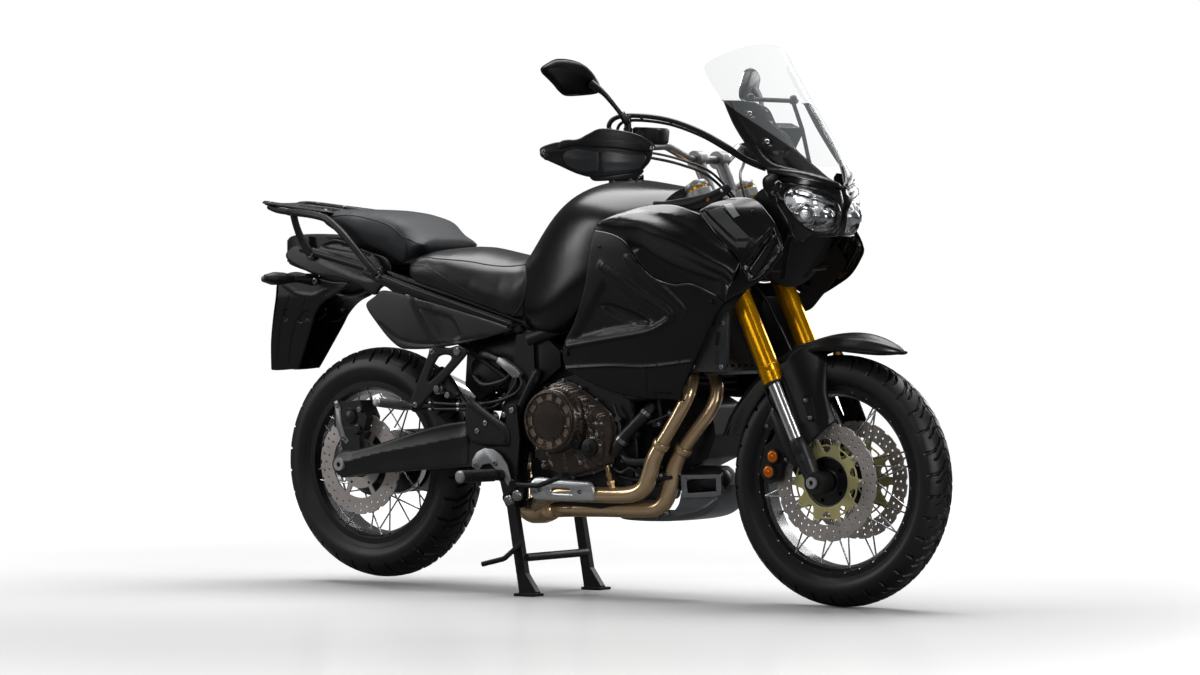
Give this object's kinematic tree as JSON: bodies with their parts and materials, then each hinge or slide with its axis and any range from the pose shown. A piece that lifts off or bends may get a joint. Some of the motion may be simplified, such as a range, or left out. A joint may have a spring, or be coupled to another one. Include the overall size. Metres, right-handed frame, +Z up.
{
  "type": "adventure touring motorcycle",
  "caption": "Long-legged touring motorcycle with spoked wheels, upside-down fork, tall windscreen, stepped seat, luggage rack and shaft drive, parked on its centre stand.",
  "frame": {"origin": "on the floor, under the middle of the machine's length and width", "axes": "+X forward, +Y to the rider's left, +Z up"},
  "size_m": [2.2549, 0.9866, 1.474],
  "materials": {
    "frame_black": "satin black powder coat",
    "satin_panel": "fine-grained satin plastic",
    "gloss_black": "glossy lacquer",
    "tank_paint": "glossy lacquer over pressed steel",
    "engine_black": "black engine paint",
    "bronze_cover": "bronze painted casting",
    "titanium_pipe": "heat-tinted stainless tube",
    "bright_steel": "brushed stainless",
    "dark_alloy": "satin dark grey paint on cast alloy",
    "alloy": "cast alloy",
    "chrome": "bright chrome",
    "gold_anodised": "gold anodised",
    "gold_carrier": "pale gold anodised",
    "disc_steel": "ground stainless",
    "black_plastic": "matt black plastic",
    "tyre_rubber": "matt rubber",
    "grip_rubber": "soft rubber",
    "seat_cover": "grained vinyl over foam",
    "clear_screen": "clear acrylic",
    "lamp_lens": "clear lens over reflector",
    "red_lens": "red lens",
    "smoke_lens": "amber lens"
  },
  "bodies": {
    "frame": {"main_frame": "frame_black", "subframe": "frame_black", "engine": "engine_black", "engine_covers": "bronze_cover", "exhaust_pipes": "titanium_pipe", "exhaust_guard": "bright_steel", "muffler": "bright_steel", "swingarm": "dark_alloy", "final_drive": "dark_alloy", "rear_axle": "bright_steel", "rear_caliper": "frame_black", "rear_shock": "frame_black", "fuel_tank": "tank_paint", "rider_seat": "seat_cover", "passenger_seat": "seat_cover", "stand_brackets": "frame_black", "windscreen": "clear_screen", "screen_cowl": "black_plastic", "front_cowl": "gloss_black", "headlights": "lamp_lens", "side_cowls": "satin_panel", "upper_cowls": "gloss_black", "side_covers": "satin_panel", "cowl_stay": "frame_black", "instrument_panel": "black_plastic", "radiator": "frame_black", "skid_plate": "dark_alloy", "hangers": "alloy", "passenger_hangers": "frame_black", "footpegs": "grip_rubber", "foot_controls": "frame_black", "luggage_rack": "black_plastic", "grab_bars": "frame_black", "tail_lamp": "red_lens", "plate_holder": "black_plastic", "rear_indicators": "smoke_lens", "control_cables": "grip_rubber"},
    "steering": {"yokes": "alloy", "fork_tubes": "gold_anodised", "fork_legs": "chrome", "front_axle": "bright_steel", "handlebar": "alloy", "grips": "grip_rubber", "controls": "black_plastic", "hand_guards": "black_plastic", "mirrors": "black_plastic", "front_fender": "black_plastic", "front_calipers": "frame_black", "brake_hoses": "grip_rubber"},
    "front_wheel": {"front_tyre": "tyre_rubber", "front_rim": "frame_black", "front_discs": "disc_steel", "front_carriers": "gold_carrier"},
    "rear_wheel": {"rear_tyre": "tyre_rubber", "rear_rim": "frame_black", "rear_disc": "disc_steel"},
    "centre_stand": {"centre_stand": "frame_black"},
    "side_stand": {"side_stand": "frame_black"},
    "fuel_cap": {"fuel_cap": "alloy"}
  },
  "joints": [
    {"name": "steering_turn", "type": "hinge", "parent": "frame", "child": "steering", "pos_m": [0.75356, 0, 0.30708], "axis": [-0.4384, 0, 0.8988], "range_deg": [-35, 35], "deforming": ["control_cables"]},
    {"name": "front_wheel_spin", "type": "hinge", "parent": "steering", "child": "front_wheel", "pos_m": [0.7985, 0, 0.329], "axis": [0, 1, 0], "continuous": true},
    {"name": "rear_wheel_spin", "type": "hinge", "parent": "frame", "child": "rear_wheel", "pos_m": [-0.7415, 0, 0.341], "axis": [0, 1, 0], "continuous": true},
    {"name": "centre_stand_fold", "type": "hinge", "parent": "frame", "child": "centre_stand", "pos_m": [-0.182, 0, 0.264], "axis": [0, 1, 0], "range_deg": [0, 98]},
    {"name": "side_stand_swing", "type": "hinge", "parent": "frame", "child": "side_stand", "pos_m": [-0.04, 0.196, 0.262], "axis": [0.0215, -0.9027, -0.4296], "range_deg": [0, 102]},
    {"name": "fuel_cap_hinge", "type": "hinge", "parent": "frame", "child": "fuel_cap", "pos_m": [0.142, 0, 1.13], "axis": [0, 1, 0], "range_deg": [0, 80]}
  ]
}
